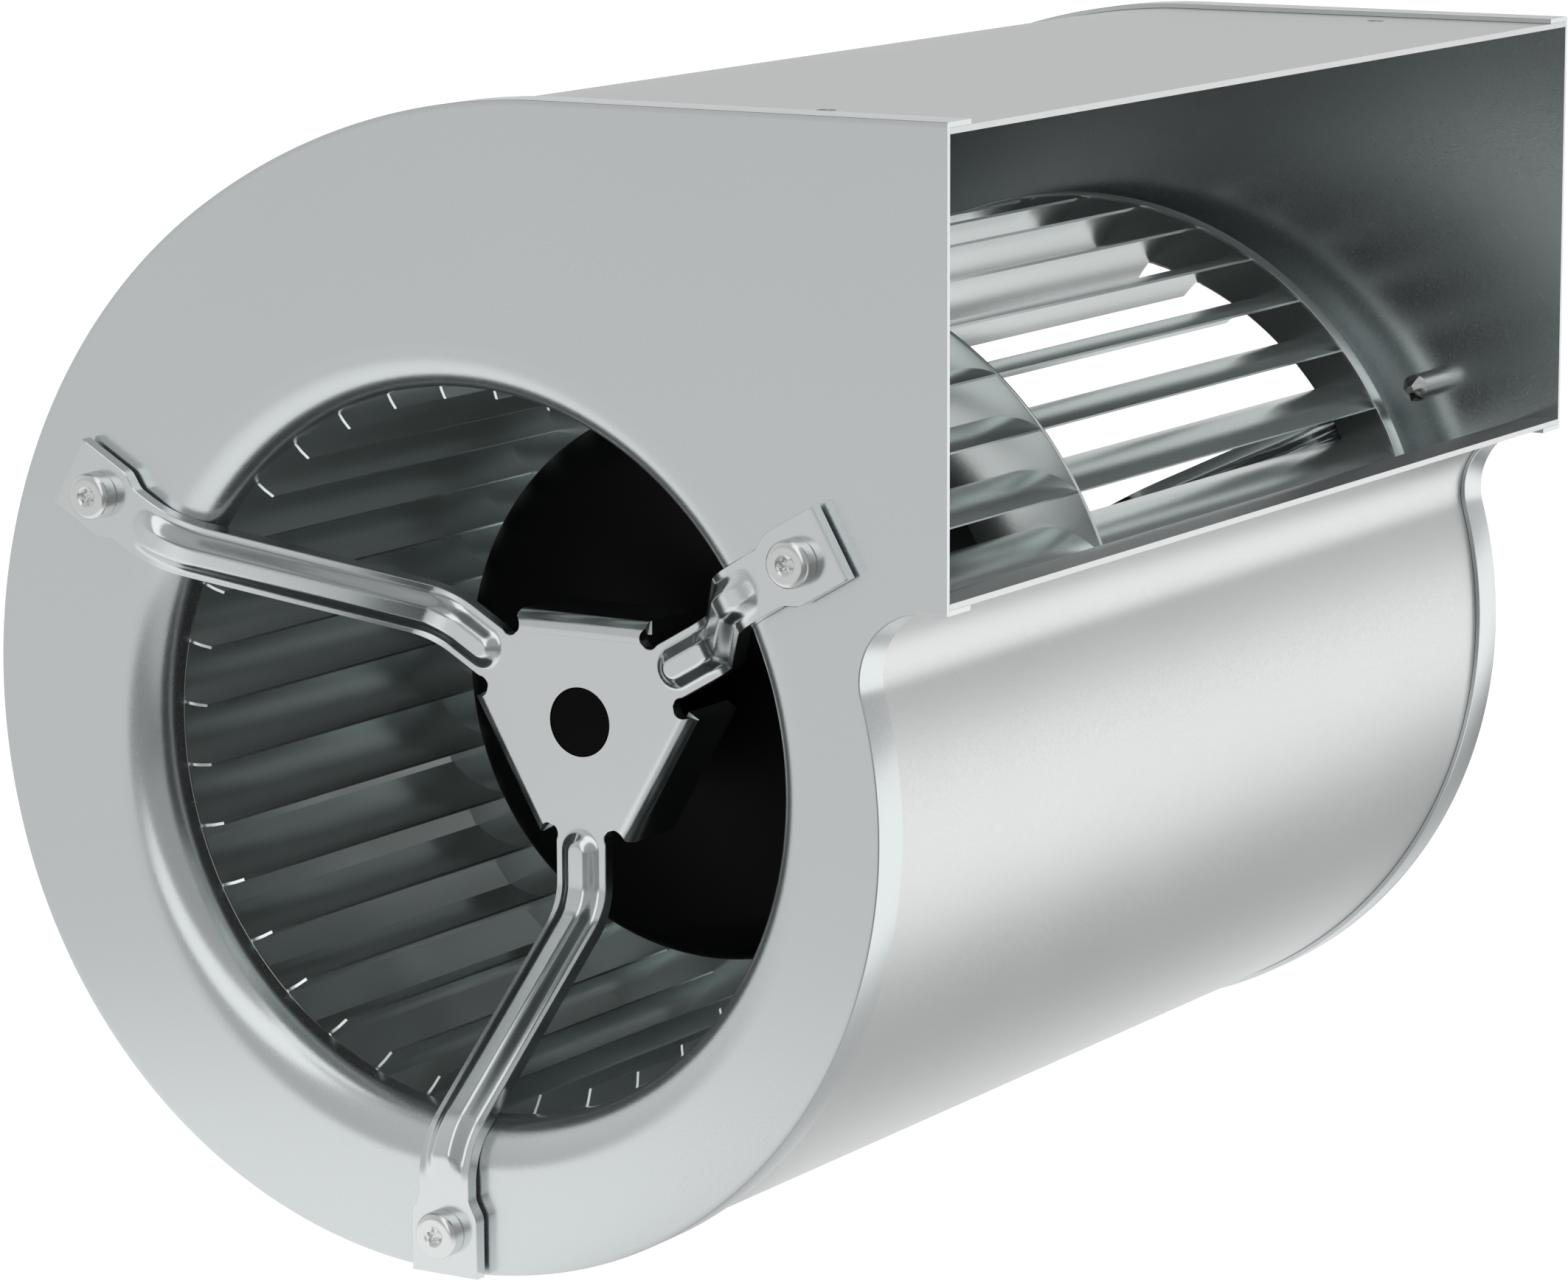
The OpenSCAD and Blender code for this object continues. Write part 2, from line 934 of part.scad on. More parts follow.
module disc_rivets() {
    color("#9da2a3") {
        placed() {
            for (i = [0:rivet_n - 1]) {
                rotate(i * 360 / rivet_n) {
                    translate([rivet_r, 0, cover_under]) {
                        cylinder(r = rivet_shank, h = disc_z - cover_under);
                        translate([0, 0, -rivet_head_h])
                            cylinder(r = rivet_head, h = rivet_head_h);
                    }
                    translate([rivet_r, 0, disc_z])
                        cylinder(r1 = rivet_head, r2 = rivet_head - 0.6, h = rivet_head_h);
                }
            }
        }
    }
}

near_side_plate();
far_side_plate();
scroll_wrap();
near_bracket();
far_bracket();
near_foot_washers();
far_foot_washers();
near_foot_screws();
far_foot_screws();
motor_axle();
near_spacer_sleeve();
far_spacer_sleeve();
axle_circlips();
bearing_inner_rings();
stator_core();
stator_windings();
rotor_can();
rotor_end_cover();
rotor_core();
bearing_outer_rings();
bearing_balls();
bearing_cages();
disc_rivets();
middle_disc();
impeller_blades();
near_end_ring();
far_end_ring();
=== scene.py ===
# %% [markdown]
# # A double-inlet centrifugal fan, dressed in Blender
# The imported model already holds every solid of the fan: two side plates, a wrap, two
# three-armed brackets, a drum impeller and a motor that turns about a fixed axle. This
# script loads it as a fixed frame and gives each visible part its rounded edges, pressed
# beads, recesses and finish. The solids that only show through a gap keep their own mesh.

# %% The frame
import json

import bmesh
import bpy
import numpy as np
from mathutils import Matrix, Vector
from mathutils.geometry import tessellate_polygon

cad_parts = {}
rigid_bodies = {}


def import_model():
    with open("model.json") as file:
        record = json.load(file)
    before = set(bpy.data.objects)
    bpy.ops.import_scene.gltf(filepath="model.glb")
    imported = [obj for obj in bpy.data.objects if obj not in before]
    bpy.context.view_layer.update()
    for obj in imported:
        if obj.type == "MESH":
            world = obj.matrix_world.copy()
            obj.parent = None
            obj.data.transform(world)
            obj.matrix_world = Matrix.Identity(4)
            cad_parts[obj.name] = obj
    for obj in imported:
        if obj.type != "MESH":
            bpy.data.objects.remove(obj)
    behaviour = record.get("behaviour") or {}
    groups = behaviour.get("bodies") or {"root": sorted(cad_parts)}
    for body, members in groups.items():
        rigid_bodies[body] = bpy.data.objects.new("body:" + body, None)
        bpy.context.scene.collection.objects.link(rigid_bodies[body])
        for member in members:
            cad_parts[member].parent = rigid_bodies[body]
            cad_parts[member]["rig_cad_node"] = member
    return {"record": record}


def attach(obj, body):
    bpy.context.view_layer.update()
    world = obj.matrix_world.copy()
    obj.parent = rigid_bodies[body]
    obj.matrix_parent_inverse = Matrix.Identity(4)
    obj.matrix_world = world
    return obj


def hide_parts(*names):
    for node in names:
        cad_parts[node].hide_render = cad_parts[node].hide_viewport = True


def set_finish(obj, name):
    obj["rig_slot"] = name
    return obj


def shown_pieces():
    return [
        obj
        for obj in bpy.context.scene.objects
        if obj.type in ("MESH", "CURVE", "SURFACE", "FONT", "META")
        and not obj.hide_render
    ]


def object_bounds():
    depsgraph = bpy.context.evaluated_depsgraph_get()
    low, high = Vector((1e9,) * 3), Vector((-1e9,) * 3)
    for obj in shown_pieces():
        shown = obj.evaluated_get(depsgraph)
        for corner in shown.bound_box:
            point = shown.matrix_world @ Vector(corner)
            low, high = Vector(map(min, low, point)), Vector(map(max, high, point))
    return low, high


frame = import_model()
cad_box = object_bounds()
scene = bpy.context.scene

# %% [markdown]
# ## The same numbers as the construction
# Shapes are worked out in millimetres with the shaft along Z and the near inlet at +Z,
# as on a drawing board, and turned into the row frame's metres at the very end. The
# numbers are those of the construction, so a dressed piece lies where its solid lies.

# %% Main sizes, in millimetres
HOUSING_W, OUTLET_X, OUTLET_H = 233.0, 94.6, 77.4
PLATE_T, WRAP_T, RIM_W = 0.85, 1.0, 7.5
SEAM, PLAY, MM = 0.03, 0.05, 0.001
SIDE_Z = HOUSING_W / 2
THROAT_R, LIP_R, NOZZLE_DEPTH = 61.6, 8.0, 10.2
LIP_C = np.array([THROAT_R + LIP_R, SIDE_Z - LIP_R])
NOZZLE_Z = SIDE_Z - NOZZLE_DEPTH
ARM_ANGLES = (30, 150, 270)
SKIRT_ANGLES = (90, 210, 330)
TOP_HOLE_X, TOP_HOLE_R, TOP_HOLE_SPACING = 63.1, 1.6, 200.0


def heading(degrees):
    """Unit vector, or one row per angle, that points in a direction of the drawing plane."""
    a = np.radians(degrees)
    return np.stack([np.cos(a), np.sin(a)], -1)


# %% [markdown]
# ## The scroll line
# Seen along the shaft the housing is a scroll: four arcs that meet smoothly, a hollow
# bend under the outlet and a straight top. Both side plates and the wrap follow it, so it
# is worked out once, as points with their outward directions. A parallel line at any
# inset is then one subtraction.

# %% The scroll line and its outward directions
SCROLL_R = np.array([82.0, 90.5, 100.5, 120.5])
SCROLL_END = np.array([-76.0, -163.0, -236.0, -270.0])
TONGUE_R = 12.0
centres = [np.array([0.3, -4.9])]
for k in range(3):
    centres.append(centres[k] + (SCROLL_R[k] - SCROLL_R[k + 1]) * heading(SCROLL_END[k]))
TOP_Y = centres[3][1] + SCROLL_R[3]
MOUTH_Y = TOP_Y - OUTLET_H
WRAP_TOP = TOP_Y - PLATE_T - SEAM
tongue_y = MOUTH_Y - TONGUE_R
tongue_rise = tongue_y - centres[0][1]
tongue_run = np.sqrt((SCROLL_R[0] + TONGUE_R) ** 2 - tongue_rise ** 2)
tongue = np.array([centres[0][0] + tongue_run, tongue_y])
tongue_end = np.degrees(np.arctan2(tongue_rise, tongue_run))


def even_steps(start, end, step):
    """Evenly spaced values from start to end, with both ends, at most step apart."""
    return np.linspace(start, end, int(np.ceil(abs(end - start) / step)) + 1)


def scroll_line(step=0.75):
    """Points and outward directions from the outlet's lower edge round to its upper one."""
    bend = even_steps(90, 180 + tongue_end, 3)
    points, outward = [[[OUTLET_X, MOUTH_Y]]], [[[0, -1]]]
    points.append(tongue + TONGUE_R * heading(bend))
    outward.append(-heading(bend))
    starts = np.concatenate([[tongue_end], SCROLL_END[:3]])
    for c, r, a, b in zip(centres, SCROLL_R, starts, SCROLL_END):
        turn = even_steps(a, b, step)[1:]
        points.append(c + r * heading(turn))
        outward.append(heading(turn))
    points.append([[OUTLET_X, TOP_Y]])
    outward.append([[0, 1]])
    return np.concatenate(points), np.concatenate(outward)


line, line_out = scroll_line()
print("scroll line:", len(line), "points, outlet", round(MOUTH_Y, 2), "to", round(TOP_Y, 2))

# %% [markdown]
# ## From grids to meshes
# Nearly every piece here is a grid of points: rows along a path, columns round a section.
# A grid becomes quads by joining each point to its neighbours, which numpy does for the
# whole array at once. A piece is a list of such grids that share their border points, so
# merging doubles closes it, and its faces are then turned outwards.


# %% Grids, turned shapes, flat faces and walls
def grid(points, close_rows=False, close_columns=False):
    """Quads between neighbouring rows and columns of an array of points."""
    index = np.arange(points.shape[0] * points.shape[1]).reshape(points.shape[:2])
    down, right = np.roll(index, -1, 0), np.roll(index, -1, 1)
    quads = np.stack([index, down, np.roll(down, -1, 1), right], -1)
    quads = quads if close_rows else quads[:-1]
    quads = quads if close_columns else quads[:, :-1]
    return points.reshape(-1, 3), quads.reshape(-1, 4)


def turned(profile, steps=192, closed=False):
    """A profile of (radius, height) carried once round the shaft."""
    profile = np.asarray(profile, float)
    ring = heading(np.arange(steps) * 360 / steps)
    flat = profile[:, None, :1] * ring[None]
    height = np.broadcast_to(profile[:, None, 1:], flat.shape[:2] + (1,))
    return grid(np.concatenate([flat, height], -1), closed, True)


def flat_face(loops, height):
    """A flat face at one height inside the first loop of points and outside the others."""
    stacked = np.concatenate([np.asarray(loop, float) for loop in loops])
    triangles = tessellate_polygon([[Vector((*p, 0)) for p in loop] for loop in loops])
    points = np.column_stack([stacked, np.full(len(stacked), float(height))])
    return points, np.array(triangles)


def wall(loop, low, high, closed=True):
    """An upright wall over a line of points."""
    loop = np.asarray(loop, float)
    rows = [np.column_stack([loop, np.full(len(loop), z)]) for z in (low, high)]
    return grid(np.stack(rows), False, closed)


def ring_points(centre, radius, steps=48):
    """Points of a circle in the drawing plane."""
    return np.asarray(centre, float) + radius * heading(np.arange(steps) * 360 / steps)


def slab(top, bottom, open_start=True):
    """Two facing grids joined by walls round their edges; the first row may stay open."""
    parts = [grid(top), grid(bottom)]
    edges = [(top[:, 0], bottom[:, 0]), (top[:, -1], bottom[:, -1]), (top[-1], bottom[-1])]
    if not open_start:
        edges.append((top[0], bottom[0]))
    return parts + [grid(np.stack(pair)) for pair in edges]


def swung(part, degrees):
    """A part turned about the shaft."""
    points, faces = part
    c, s = heading(degrees)
    turn = np.array([[c, s, 0], [-s, c, 0], [0, 0, 1]])
    return points @ turn, faces


def shifted(part, offset):
    """A part moved by an offset."""
    return part[0] + np.asarray(offset, float), part[1]


def rounded(corners, radii, steps):
    """A line through corners, each replaced by an arc of its own radius (0 keeps it)."""
    corners = np.asarray(corners, float)
    made = []
    for k, (p, r) in enumerate(zip(corners, radii)):
        if r == 0:
            made.append(p[None])
            continue
        to_last, to_next = corners[k - 1] - p, corners[(k + 1) % len(corners)] - p
        u, v = to_last / np.linalg.norm(to_last), to_next / np.linalg.norm(to_next)
        half = np.arccos(np.clip(u @ v, -1, 1)) / 2
        middle = p + (u + v) / np.linalg.norm(u + v) * r / np.sin(half)
        a = p + u * r / np.tan(half) - middle
        b = p + v * r / np.tan(half) - middle
        start, turn = np.arctan2(a[1], a[0]), np.arctan2(a[0] * b[1] - a[1] * b[0], a @ b)
        made.append(middle + r * heading(np.degrees(start + turn * np.linspace(0, 1, steps))))
    return np.concatenate(made)


# %% [markdown]
# ## One function makes the object
# It turns the drawing into the row frame, merges the shared borders, turns the faces
# outwards, says which body the piece rides on and which material slot it belongs to, and
# hides the solids it stands for. Far-side copies mirror the shaft direction first, which is
# why the faces are recalculated after the doubles are merged.


# %% Making a piece
def make_piece(name, parts, body, slot, nodes, far=False, smooth=32):
    """A mesh object from parts, at the origin, with its place in its mesh."""
    offsets = np.cumsum([0] + [len(p[0]) for p in parts])
    points = np.concatenate([p[0] for p in parts])
    if far:
        points = points * [1, 1, -1]
    faces = [row for (_, f), start in zip(parts, offsets) for row in (f + start).tolist()]
    placed = np.stack([points[:, 0] - TOP_HOLE_X, -points[:, 2], points[:, 1] - WRAP_TOP], -1)
    mesh = bpy.data.meshes.new(name)
    mesh.from_pydata((placed * MM).tolist(), [], faces)
    work = bmesh.new()
    work.from_mesh(mesh)
    bmesh.ops.remove_doubles(work, verts=work.verts, dist=2e-6)
    bmesh.ops.recalc_face_normals(work, faces=work.faces)
    open_edges = sum(1 for e in work.edges if len(e.link_faces) != 2)
    work.to_mesh(mesh)
    work.free()
    mesh.shade_smooth()
    mesh.set_sharp_from_angle(angle=np.radians(smooth))
    piece = bpy.data.objects.new(name, mesh)
    scene.collection.objects.link(piece)
    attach(piece, body)
    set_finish(piece, slot)
    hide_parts(*nodes)
    print(f"{name}: {len(mesh.polygons)} faces, {open_edges} open edges")
    return piece


def both_sides(name, parts, body, slot, node, smooth=32):
    """The near piece and its mirror image on the far side."""
    return [
        make_piece(f"{side}_{name}", parts, body, slot, [f"{side}_{node}"], side == "far", smooth)
        for side in ("near", "far")
    ]


# %% [markdown]
# ## Side plates
# Each plate is one pressed sheet: a flat face, a rim folded back over the wrap, and an
# inlet that rolls inward as a quarter circle and ends in a short nozzle. The fold gets a
# hair of a radius, as thin sheet has when it is folded over a sharp tool. The rim is a
# section carried along the scroll line, the inlet is a turned profile, and flat faces fill
# what is between them.

# %% Side plates
FOLD_R, FLAT, EDGE = 0.25, 0.8, 0.08
SCREW_R, FOOT_SCREW_AT = 2.45, 79.5
outer_fold = [FOLD_R, SIDE_Z - FOLD_R] + FOLD_R * heading(np.linspace(90, 180, 5))
rim_section = np.concatenate([
    [[FOLD_R + FLAT, SIDE_Z]], outer_fold,
    [[0, SIDE_Z - RIM_W + EDGE], [EDGE, SIDE_Z - RIM_W],
     [PLATE_T - EDGE, SIDE_Z - RIM_W], [PLATE_T, SIDE_Z - RIM_W + EDGE]],
    [[PLATE_T, SIDE_Z - PLATE_T], [FOLD_R + FLAT, SIDE_Z - PLATE_T]],
])


def carried(section):
    """A section of (inset, height) carried along the scroll line."""
    flat = line[:, None] - section[None, :, :1] * line_out[:, None]
    height = np.broadcast_to(section[None, :, 1:], flat.shape[:2] + (1,))
    return np.concatenate([flat, height], -1)


roll = np.linspace(90, 180, 25)
inlet_line = np.concatenate([
    [[LIP_C[0] + FLAT, SIDE_Z]], LIP_C + LIP_R * heading(roll),
    [[THROAT_R, NOZZLE_Z + EDGE], [THROAT_R + EDGE, NOZZLE_Z],
     [THROAT_R + PLATE_T - EDGE, NOZZLE_Z], [THROAT_R + PLATE_T, NOZZLE_Z + EDGE]],
    LIP_C + (LIP_R - PLATE_T) * heading(roll[::-1]), [[LIP_C[0] + FLAT, SIDE_Z - PLATE_T]],
])
rim = carried(rim_section)
plate_holes = [ring_points([0, 0], LIP_C[0] + FLAT, 192)]
plate_holes += [ring_points(FOOT_SCREW_AT * heading(a), SCREW_R + PLAY) for a in ARM_ANGLES]
plate_line = line - (FOLD_R + FLAT) * line_out
mouth_ring = np.concatenate([rim[-1], rim[0][::-1]])
mouth_faces = tessellate_polygon([[Vector((p[1], p[2], 0)) for p in mouth_ring]])
side_plate = [
    grid(rim),
    turned(inlet_line),
    flat_face([plate_line] + plate_holes, SIDE_Z),
    flat_face([plate_line] + plate_holes, SIDE_Z - PLATE_T),
    (mouth_ring, np.array(mouth_faces)),
] + [wall(hole, SIDE_Z - PLATE_T, SIDE_Z) for hole in plate_holes[1:]]
both_sides("plate_pressed", side_plate, "housing", "side_plates", "side_plate")

# %% [markdown]
# ## Wrap
# One sheet runs from the outlet's lower lip round the scroll to the top, with its edges
# inside the plates' rims. The curved part is a band carried along the scroll line. The
# flat top is a face with the two mounting holes, because a hole needs its own outline.

# %% Wrap
WRAP_HALF = SIDE_Z - PLATE_T - SEAM
inset = PLATE_T + SEAM
last = len(line) - 2
band = np.array([[inset, -WRAP_HALF], [inset, WRAP_HALF],
                 [inset + WRAP_T, WRAP_HALF], [inset + WRAP_T, -WRAP_HALF]])
wrap_grid = carried(band)[: last + 1]
flat_from = line[last, 0]
top_outline = [[flat_from, -WRAP_HALF], [flat_from, WRAP_HALF],
               [OUTLET_X, WRAP_HALF], [OUTLET_X, -WRAP_HALF]]
top_holes = [ring_points([TOP_HOLE_X, s * TOP_HOLE_SPACING / 2], TOP_HOLE_R)
             for s in (-1, 1)]


def stood_up(part):
    """Turns a part drawn over X and Z into the drawing plane, height becoming Y."""
    points, faces = part
    return points[:, [0, 2, 1]], faces


wrap_low = WRAP_TOP - WRAP_T
top_sheet = [flat_face([top_outline] + top_holes, h) for h in (WRAP_TOP, wrap_low)]
top_sheet += [wall(hole, wrap_low, WRAP_TOP) for hole in top_holes]
top_sheet += [wall(top_outline[1:] + top_outline[:1], wrap_low, WRAP_TOP, False)]
lip_cap = (wrap_grid[0], np.array([[0, 1, 2, 3]]))
wrap_parts = [grid(wrap_grid, False, True), lip_cap] + [stood_up(p) for p in top_sheet]
make_piece("scroll_wrap_rolled", wrap_parts, "housing", "wrap", ["scroll_wrap"])

# %% [markdown]
# ## Brackets
# A bracket is the part that the eye goes to first. It is pressed from one thick sheet: a
# hub plate with three folded skirts, and three arms that climb to the inlet lip. Each arm
# carries a bead, a long raised rib with round ends. The arm is a grid: rows follow the
# arm's side view, columns go across, and the bead lifts the points by a smooth step of
# their distance to the bead's middle line. The back is the same grid one sheet lower.

# %% Bracket sizes
BRACKET_T, HUB_Z, WASHER_T = 2.4, 76.75, 0.7
ARM_W, FOOT_W, ARM_SLOPE, ARM_LIP_GAP = 10.0, 13.0, 52.9, 0.25
ROOT_BEND, CROWN_BEND, FOOT_END_R = 9.0, 13.0, 86.8
WIDEN_FROM, WIDEN_OVER, CHAMFER, CHAMFER_OVER = 73.1, 4.0, 0.12, 1.5
BEAD_W, BEAD_H, BEAD_FLANK, BEAD_WALL = 8.0, 1.9, 2.8, 1.1
BEAD_FROM, BEAD_TILT, BEAD_TAPER = 22.6, 10.0, 6.0
HUB_FLAT, SKIRT_H, SKIRT_FACE, SKIRT_END, SKIRT_EDGE = 15.5, 15.0, 18.3, 13.0, 0.2
ARM_TO_SKIRT = SKIRT_ANGLES[0] - ARM_ANGLES[0]
RELIEF_R, RELIEF_AT, RELIEF_TURN, AXLE_R = 1.85, np.array([20.0, 6.6]), 23.4, 6.0
relief_reach = np.sqrt(RELIEF_R ** 2 - (RELIEF_AT[1] - ARM_W / 2) ** 2)
FOOT_Z = SIDE_Z + WASHER_T + BRACKET_T
arm_point = LIP_C + (LIP_R + ARM_LIP_GAP + BRACKET_T) * heading(ARM_SLOPE + 90)
half_turn = np.tan(np.radians(ARM_SLOPE / 2))
run = 1 / np.tan(np.radians(ARM_SLOPE))
root_from = arm_point[0] - (arm_point[1] - HUB_Z) * run - ROOT_BEND * half_turn
crown_to = arm_point[0] + (FOOT_Z - arm_point[1]) * run + CROWN_BEND * half_turn
print("arm bends from", round(root_from, 2), "to", round(crown_to, 2))


# %% Side view of an arm
def arm_side_view():
    """Points and tilt angles of the arm's outer face, with the distance run along it."""
    root_c = np.array([root_from, HUB_Z + ROOT_BEND])
    crown_c = np.array([crown_to, FOOT_Z - CROWN_BEND])
    start = RELIEF_AT[0] - RELIEF_R
    flat = even_steps(start, root_from, 0.4)
    up = even_steps(0, ARM_SLOPE, 4)[1:]
    over = even_steps(ARM_SLOPE, 0, 1.6)
    foot = even_steps(crown_to, FOOT_END_R, 0.5)[1:]
    rise_a = root_c + ROOT_BEND * heading(ARM_SLOPE - 90)
    rise_b = crown_c + CROWN_BEND * heading(90 + ARM_SLOPE)
    rise = rise_a + np.linspace(0, 1, 90)[1:-1, None] * (rise_b - rise_a)
    points = np.concatenate([
        np.column_stack([flat, np.full(len(flat), HUB_Z)]),
        root_c + ROOT_BEND * heading(up - 90), rise,
        crown_c + CROWN_BEND * heading(90 + over),
        np.column_stack([foot, np.full(len(foot), FOOT_Z)]),
    ])
    tilt = np.concatenate([np.zeros(len(flat)), up, np.full(len(rise), ARM_SLOPE), over,
                           np.zeros(len(foot))])
    run_length = np.concatenate([[0], np.cumsum(np.linalg.norm(np.diff(points, axis=0), axis=1))])
    return points, tilt, run_length


def smooth_step(x):
    """0 below 0, 1 above 1, and level at both ends between."""
    x = np.clip(x, 0, 1)
    return x * x * (3 - 2 * x)


arm_line, arm_tilt, arm_run = arm_side_view()
bead_start = BEAD_FROM - arm_line[0, 0]
bead_stop = np.interp(crown_to, arm_line[:, 0], arm_run) - CROWN_BEND * np.radians(BEAD_TILT)
print("arm rows:", len(arm_line), "bead from", round(bead_start, 1), "to", round(bead_stop, 1))


# %% Arm, foot and bead as two facing grids
def arm_half_width(x):
    """Half the arm's width: the relief notch at the hub, the arm, and the wider foot."""
    notch = RELIEF_AT[1] - np.sqrt(np.maximum(RELIEF_R ** 2 - (x - RELIEF_AT[0]) ** 2, 0))
    arm = np.full_like(x, ARM_W / 2)
    in_notch = (x < RELIEF_AT[0] + relief_reach) & (x >= RELIEF_AT[0] - RELIEF_R - 1e-6)
    arm = np.where(in_notch, notch, arm)
    return arm + (FOOT_W - ARM_W) / 2 * smooth_step((x - WIDEN_FROM) / WIDEN_OVER)


def bead_lift(along, across, half, height):
    """Height of the bead over the face, by distance to its middle line; it fades at the foot."""
    beyond = np.maximum(np.maximum(bead_start - along, along - bead_stop), 0)
    taper = 1 - smooth_step((along - bead_stop + BEAD_TAPER / 2) / BEAD_TAPER)
    return height * taper * smooth_step((half - np.hypot(beyond, across)) / BEAD_FLANK)


def arm_surface(depth, half, height, across_steps=45):
    """The arm's face at a depth below its outer face, lifted by a bead."""
    t = np.linspace(-1, 1, across_steps)
    width = arm_half_width(arm_line[:, 0])
    inner = (width - CHAMFER)[:, None] * t[None]
    y = np.concatenate([-width[:, None], inner, width[:, None]], 1)
    along = np.broadcast_to(arm_run[:, None], y.shape)
    lift = bead_lift(along, y, half, height)
    fade = smooth_step(arm_run / CHAMFER_OVER)
    drop = np.zeros_like(y)
    drop[:, [0, -1]] = (CHAMFER * fade)[:, None]
    drop[-1] = np.maximum(drop[-1], CHAMFER)
    side = 1 if depth == 0 else -1
    out = lift - depth - side * drop
    normal = heading(arm_tilt + 90)
    x = arm_line[:, :1] + normal[:, :1] * out
    z = arm_line[:, 1:] + normal[:, 1:] * out
    return np.stack([x, y, z], -1)


arm_front = arm_surface(0, BEAD_W / 2, BEAD_H)
arm = slab(arm_front, arm_surface(BRACKET_T, BEAD_W / 2 - BEAD_WALL, BEAD_H))


# %% Skirts
def skirt_half_length(reach):
    """Half the skirt's length, cut back near the fold by the relief notches."""
    across, along = RELIEF_AT @ heading(ARM_TO_SKIRT), RELIEF_AT @ heading(ARM_TO_SKIRT - 90)
    cut = along - np.sqrt(np.maximum(RELIEF_R ** 2 - (reach - across) ** 2, 0))
    return np.minimum(SKIRT_END, cut)


def skirt_surface(outer):
    """The skirt's outer or inner face: flat at the hub, folded, then straight down."""
    bend = SKIRT_FACE - HUB_FLAT
    radius = bend if outer else bend - BRACKET_T
    turn = HUB_FLAT + radius * np.sin(np.linspace(0, np.pi / 2, 10))
    high = HUB_Z - bend + radius * np.cos(np.linspace(0, np.pi / 2, 10))
    low = HUB_Z - SKIRT_H
    reach = np.concatenate([turn, np.full(4, turn[-1])])
    height = np.concatenate([high, [HUB_Z - bend - 1.5, low + 1, low + SKIRT_EDGE, low]])
    reach[-1] += -SKIRT_EDGE if outer else SKIRT_EDGE
    half = skirt_half_length(np.where(height < HUB_Z - bend + 1e-6, SKIRT_FACE, reach))
    t = np.linspace(-1, 1, 13)
    y = half[:, None] * t[None]
    return np.stack([np.broadcast_to(reach[:, None], y.shape), y,
                     np.broadcast_to(height[:, None], y.shape)], -1)


skirt = slab(skirt_surface(True), skirt_surface(False))

# %% [markdown]
# The hub plate's outline is the same third three times over: a relief notch, the root of an
# arm, the other notch and the fold of a skirt. A skirt is drawn along X as an arm is, so its
# fold is first turned by the angle from an arm to the next skirt.

# %% Hub plate and the whole bracket
skirt_way = np.stack([heading(ARM_TO_SKIRT), heading(ARM_TO_SKIRT + 90)])
fold_line = skirt_surface(True)[0][:, :2] @ skirt_way
upper = RELIEF_AT + RELIEF_R * heading(even_steps(180, 180 - RELIEF_TURN, 4))
upper[-1] = fold_line[0]
lower = (upper * [1, -1])[::-1]
third = np.concatenate([lower[:-1], arm_front[0][:, :2], upper[1:], fold_line[1:-1]])
hub_rim, notches = [], []
for c, s in heading(ARM_ANGLES):
    spin = np.array([[c, s], [-s, c]])
    hub_rim.append(third @ spin)
    notches += [lower @ spin, upper @ spin]
hub_outline = np.concatenate(hub_rim)
axle_hole = ring_points([0, 0], AXLE_R + PLAY, 64)
low = HUB_Z - BRACKET_T
bracket_parts = [flat_face([hub_outline, axle_hole], h) for h in (HUB_Z, low)]
bracket_parts.append(wall(axle_hole, low, HUB_Z))
bracket_parts += [wall(notch, low, HUB_Z, False) for notch in notches]
bracket_parts += [swung(part, a) for a in ARM_ANGLES for part in arm]
bracket_parts += [swung(part, a) for a in SKIRT_ANGLES for part in skirt]
both_sides("bracket_pressed", bracket_parts, "housing", "brackets", "bracket", 38)

# %% [markdown]
# ## Foot screws and washers
# A foot screw is a turned shape with two things that aren't turned: the six-lobed recess in
# its head and the six shallow flutes of its point. The screw is still one grid of rings:
# the rings of the recess and of the point follow their own outlines instead of circles.

# %% Foot screws
HEAD_R, HEAD_H, HEAD_ROUND, HEAD_FOOT, HEAD_TURN = 4.0, 3.3, 1.2, 0.2, 12
SCREW_L, SHANK_R, POINT_H, POINT_R, WASHER_R = 14.4, 2.55, 2.2, 0.65, 4.5
RECESS_R, LOBE, FLUTE = 1.22, 0.2, 0.16
around = np.arange(96) * 360 / 96
lobes = RECESS_R * (1 + LOBE * np.cos(np.radians(6 * around)))


def star_ring(share, height):
    """A ring at a height whose radius is a share of the recess outline."""
    flat = heading(around) * (share * lobes)[:, None]
    return np.column_stack([flat, np.full(len(around), height)])


def round_ring(radius, height):
    """A plain ring at a height."""
    return np.column_stack([radius * heading(around), np.full(len(around), height)])


def fluted_ring(share):
    """A ring of the point: the radius narrows with share, less six shallow flutes."""
    radius = SHANK_R + (POINT_R - SHANK_R) * share
    flutes = 1 - FLUTE * share * (1 - share) * 4 * np.abs(np.cos(np.radians(3 * around)))
    flat = heading(around) * (radius * flutes)[:, None]
    return np.column_stack([flat, np.full(len(around), -SCREW_L + POINT_H * (1 - share))])


